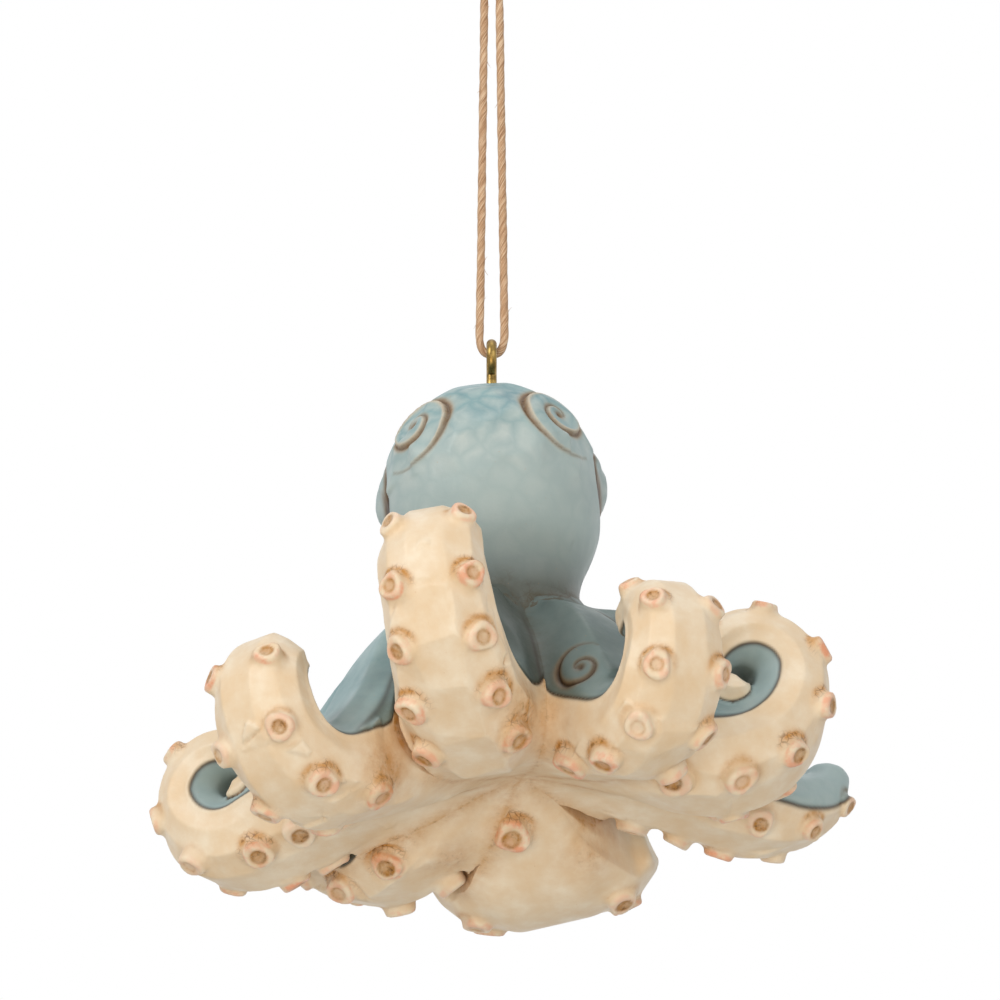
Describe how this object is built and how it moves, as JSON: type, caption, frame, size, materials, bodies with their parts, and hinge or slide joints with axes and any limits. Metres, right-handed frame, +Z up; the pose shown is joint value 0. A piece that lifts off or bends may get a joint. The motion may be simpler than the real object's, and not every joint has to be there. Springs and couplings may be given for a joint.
{
  "type": "octopus figurine",
  "caption": "Hanging octopus ornament in hand-painted cast resin, with curled arms, raised suckers, a brass eye and a twine loop.",
  "frame": {"origin": "the point of the twine loop that a hook holds, just under the knot", "axes": "+Z up along the hanging twine, -Y towards the side that the picture shows, +X to that viewer's right"},
  "size_m": [0.0908, 0.0814, 0.1378],
  "materials": {
    "painted_blue": "cast resin, hand-painted pale blue with a brown wash, satin",
    "painted_cream": "cast resin, hand-painted cream below and pale blue above, brown wash, satin",
    "brass_wire": "aged brass wire",
    "twine": "two-ply jute twine"
  },
  "bodies": {
    "twine": {"twine_loop": "twine", "twine_knot": "twine"},
    "figurine": {"head": "painted_blue", "front_arm": "painted_cream", "front_right_arm": "painted_cream", "right_arm": "painted_cream", "back_right_arm": "painted_cream", "back_arm": "painted_cream", "back_left_arm": "painted_cream", "left_arm": "painted_cream", "front_left_arm": "painted_cream", "brass_eye": "brass_wire"}
  },
  "joints": [
    {"name": "swing", "type": "hinge", "parent": "twine", "child": "figurine", "pos_m": [0, 0, -0.056], "axis": [1, 0, 0], "range_deg": [-90, 90]}
  ]
}
